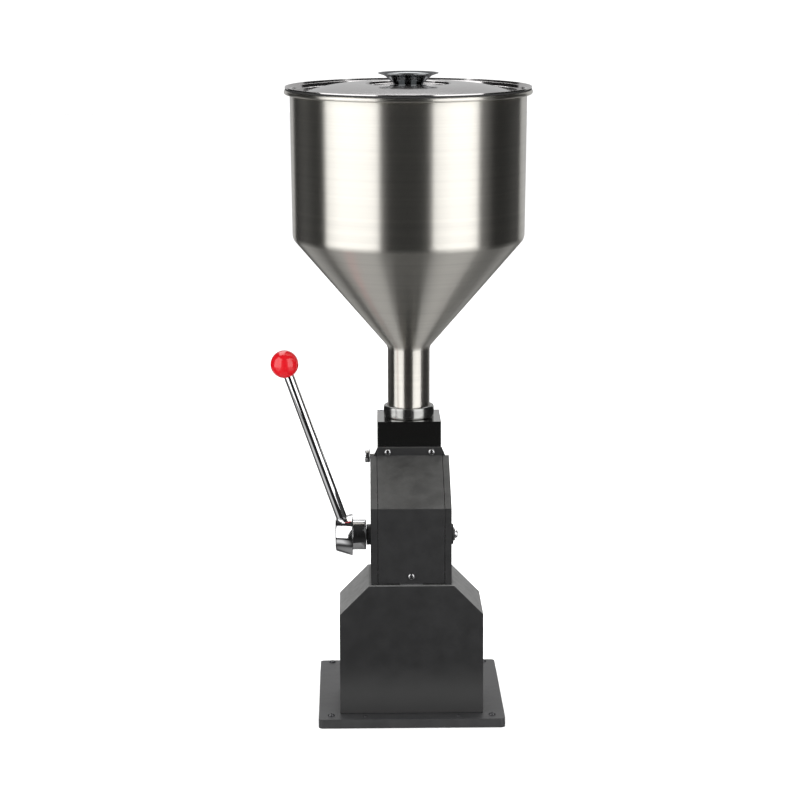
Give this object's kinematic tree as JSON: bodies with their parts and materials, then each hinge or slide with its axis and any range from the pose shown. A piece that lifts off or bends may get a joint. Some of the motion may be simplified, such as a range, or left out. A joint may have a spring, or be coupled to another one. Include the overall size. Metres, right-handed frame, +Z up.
{
  "type": "manual bottle filler",
  "caption": "Hand-lever piston filler: lidded steel hopper and valve block on a coated sheet-metal column, with a rack-driven pump, spout and base plate.",
  "frame": {"origin": "point of the base plate's underside below the hopper's axis", "axes": "+Z up, +Y from the column to the nozzle side where the bottle stands, X along the lever shaft with the lever on the -X side"},
  "size_m": [0.2833, 0.276, 0.6888],
  "materials": {
    "plate_coat": "satin charcoal powder coat",
    "powder_coat": "fine textured charcoal powder coat",
    "hopper_steel": "brushed around its axis",
    "lid_steel": "satin polished",
    "block_steel": "polished, top face satin",
    "nut_steel": "polished",
    "chrome": "bright chrome",
    "screw_chrome": "bright",
    "ball_plastic": "glossy red",
    "black_plastic": "moulded black",
    "rubber": "matt black",
    "machined_steel": "turned",
    "zinc_fasteners": "bright zinc"
  },
  "bodies": {
    "frame": {"base_plate": "plate_coat", "plate_screw_rear_left": "zinc_fasteners", "plate_screw_rear_right": "zinc_fasteners", "plate_screw_front_left": "zinc_fasteners", "plate_screw_front_right": "zinc_fasteners", "box_screw_left": "zinc_fasteners", "box_screw_right": "zinc_fasteners", "lower_box": "powder_coat", "column_housing": "powder_coat", "column_screw_left": "zinc_fasteners", "column_screw_right": "zinc_fasteners", "rear_cover": "powder_coat", "cover_screw_left": "screw_chrome", "cover_screw_right": "screw_chrome", "cover_screw_foot": "screw_chrome", "cover_bracket": "zinc_fasteners", "valve_block": "block_steel", "plug_screw": "zinc_fasteners", "pump_sleeve": "machined_steel", "sleeve_screw_1": "zinc_fasteners", "sleeve_screw_2": "zinc_fasteners", "sleeve_screw_3": "zinc_fasteners", "rack_guide": "zinc_fasteners", "shaft_bush_left": "black_plastic", "shaft_bush_right": "black_plastic", "dose_bush": "zinc_fasteners", "hopper": "hopper_steel", "hopper_gasket": "rubber", "inlet_seat": "machined_steel", "inlet_spring": "machined_steel", "nozzle": "nut_steel", "outlet_gasket": "rubber", "outlet_spring": "machined_steel"},
    "lever": {"lever_hub": "chrome", "hub_set_screw": "zinc_fasteners", "lever_rod": "chrome", "ball_knob": "ball_plastic", "lever_shaft": "machined_steel", "pinion": "machined_steel", "pinion_key": "zinc_fasteners", "stop_arm": "zinc_fasteners", "end_washer": "zinc_fasteners", "end_screw": "zinc_fasteners"},
    "pump_rod": {"rack_rod": "machined_steel", "piston": "machined_steel", "piston_seal_1": "rubber", "piston_seal_2": "rubber", "piston_nut": "zinc_fasteners"},
    "hopper_nut": {"union_nut": "nut_steel"},
    "hopper_lid": {"lid": "lid_steel", "lid_gasket": "rubber", "lid_knob": "chrome", "lid_knob_screw": "zinc_fasteners"},
    "inlet_valve": {"inlet_poppet": "machined_steel"},
    "outlet_valve": {"outlet_poppet": "machined_steel"},
    "seat_screw": {"thumb_screw": "zinc_fasteners"},
    "dose_adjuster": {"dose_screw": "zinc_fasteners", "dose_knob": "black_plastic"},
    "dose_lock": {"dose_lock_nut": "zinc_fasteners"},
    "spout_nut": {"nozzle_nut": "nut_steel"}
  },
  "joints": [
    {"name": "lever_swing", "type": "hinge", "parent": "frame", "child": "lever", "pos_m": [0, -0.075, 0.1971], "axis": [-1, 0, 0], "range_deg": [0, 91.6]},
    {"name": "pump_stroke", "type": "slide", "parent": "frame", "child": "pump_rod", "axis": [0, 1, 0], "range_m": [0, 0.032]},
    {"name": "union_nut_turn", "type": "hinge", "parent": "frame", "child": "hopper_nut", "pos_m": [0, 0, 0.3195], "axis": [0, 0, 1], "range_deg": [0, 360]},
    {"name": "lid_lift", "type": "slide", "parent": "frame", "child": "hopper_lid", "axis": [0, 0, 1], "range_m": [0, 0.06]},
    {"name": "inlet_valve_slide", "type": "slide", "parent": "frame", "child": "inlet_valve", "axis": [0, 0, -1], "range_m": [0, 0.004], "stiffness_N_per_m": 300, "springref_m": -0.004, "deforming": ["inlet_spring"]},
    {"name": "outlet_valve_slide", "type": "slide", "parent": "frame", "child": "outlet_valve", "axis": [0, 0, -1], "range_m": [0, 0.004], "stiffness_N_per_m": 300, "springref_m": -0.004, "deforming": ["outlet_spring"]},
    {"name": "thumb_screw_turn", "type": "hinge", "parent": "frame", "child": "seat_screw", "pos_m": [-0.045, 0, 0.268], "axis": [1, 0, 0], "range_deg": [-180, 180]},
    {"name": "dose_screw_turn", "type": "hinge", "parent": "frame", "child": "dose_adjuster", "pos_m": [0.018, -0.03, 0.1731], "axis": [0, 1, 0], "range_deg": [-180, 180]},
    {"name": "dose_lock_turn", "type": "hinge", "parent": "frame", "child": "dose_lock", "pos_m": [0.018, -0.03, 0.1731], "axis": [0, 1, 0], "range_deg": [-180, 180]},
    {"name": "spout_nut_turn", "type": "hinge", "parent": "frame", "child": "spout_nut", "pos_m": [0, 0.012, 0.186], "axis": [0, 0, 1], "range_deg": [0, 360]}
  ],
  "couplings": [
    {"joint": "pump_stroke", "follows": "lever_swing", "m_per_rad": 0.02}
  ]
}
